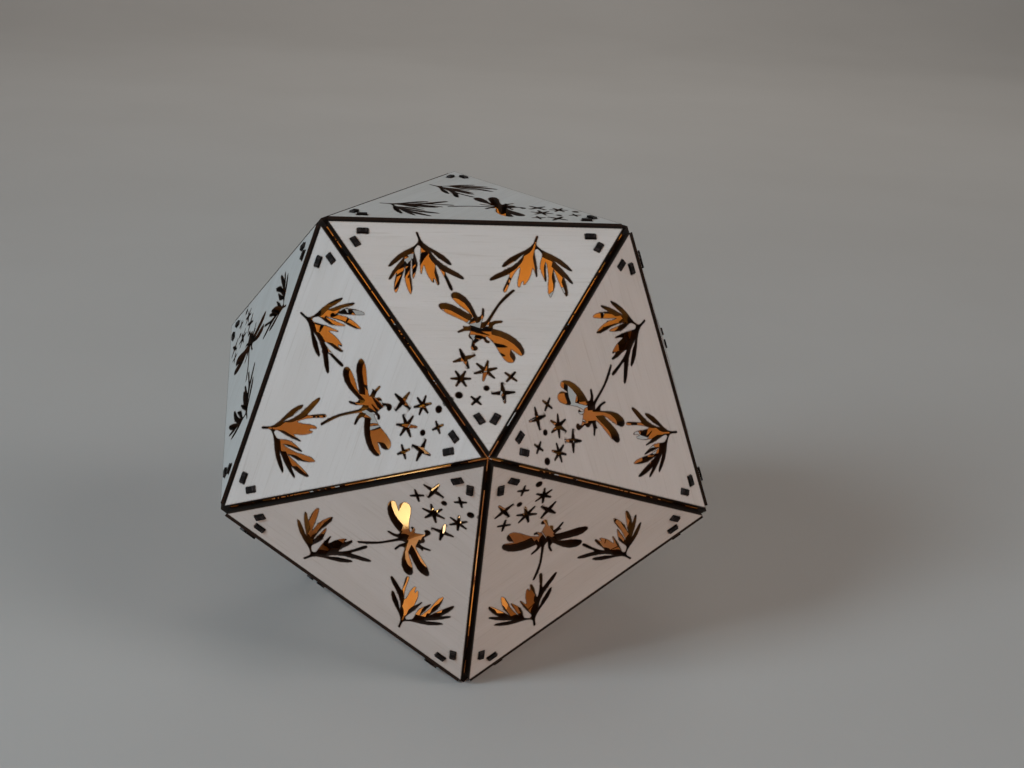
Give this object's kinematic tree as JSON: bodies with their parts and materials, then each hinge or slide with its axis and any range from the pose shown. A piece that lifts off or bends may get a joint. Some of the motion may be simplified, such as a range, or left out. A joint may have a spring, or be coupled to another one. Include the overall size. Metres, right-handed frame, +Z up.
{
  "type": "icosahedral lantern",
  "caption": "Plywood icosahedral table lantern with sprig, dragonfly and star cut-outs, a lift-off top panel and a battery candle inside.",
  "frame": {"origin": "middle of the base panel's outer face, on the surface that the lantern stands on", "axes": "+Z up through the middle of the lift-off top panel; -Y toward the front corner where five panels meet; +X to the right seen from the front"},
  "size_m": [0.1446, 0.1656, 0.1366],
  "materials": {
    "plywood": "bare birch plywood with charred laser-cut walls",
    "charred_plywood": "charred laser-cut plywood ends",
    "candle_plastic": "matte moulded",
    "screw_steel": "plated",
    "cell_steel": "brushed",
    "spring_brass": "bright strip",
    "board_green": "lacquered board",
    "led_amber": "clear amber epoxy",
    "flame_plastic": "frosted amber, lit from inside",
    "switch_black": "matte moulded"
  },
  "bodies": {
    "shell": {"panel_top_front": "plywood", "panel_top_right": "plywood", "panel_top_left": "plywood", "panel_high_front_left": "plywood", "panel_high_front_right": "plywood", "panel_high_right": "plywood", "panel_high_back_right": "plywood", "panel_high_back_left": "plywood", "panel_high_left": "plywood", "panel_low_front_left": "plywood", "panel_low_front_right": "plywood", "panel_low_right": "plywood", "panel_low_back_right": "plywood", "panel_low_back_left": "plywood", "panel_low_left": "plywood", "panel_under_left": "plywood", "panel_under_right": "plywood", "panel_under_back": "plywood", "panel_base": "plywood", "clips_lid_front_left": "charred_plywood", "clips_lid_front_right": "charred_plywood", "clips_lid_back": "charred_plywood", "clips_upper_front": "charred_plywood", "clips_upper_right": "charred_plywood", "clips_upper_left": "charred_plywood", "clips_lower_left": "charred_plywood", "clips_lower_right": "charred_plywood", "clips_lower_back": "charred_plywood", "clips_base_front": "charred_plywood", "clips_base_right": "charred_plywood", "clips_base_left": "charred_plywood"},
    "lid": {"panel_lid": "plywood"},
    "candle": {"candle_cup": "candle_plastic", "candle_floor": "candle_plastic", "battery_door": "candle_plastic", "door_screw": "screw_steel", "coin_cell": "cell_steel", "cell_top_spring": "spring_brass", "cell_side_spring": "spring_brass", "circuit_board": "board_green", "led": "led_amber", "flame_lens": "flame_plastic"},
    "switch": {"switch_slider": "switch_black"}
  },
  "joints": [
    {"name": "lid_lift", "type": "slide", "parent": "shell", "child": "lid", "axis": [0, 0, 1], "range_m": [0, 0.12]},
    {"name": "candle_lift", "type": "slide", "parent": "shell", "child": "candle", "axis": [0, 0, 1], "range_m": [0, 0.08]},
    {"name": "switch_slide", "type": "slide", "parent": "candle", "child": "switch", "axis": [1, 0, 0], "range_m": [0, 0.002]}
  ]
}
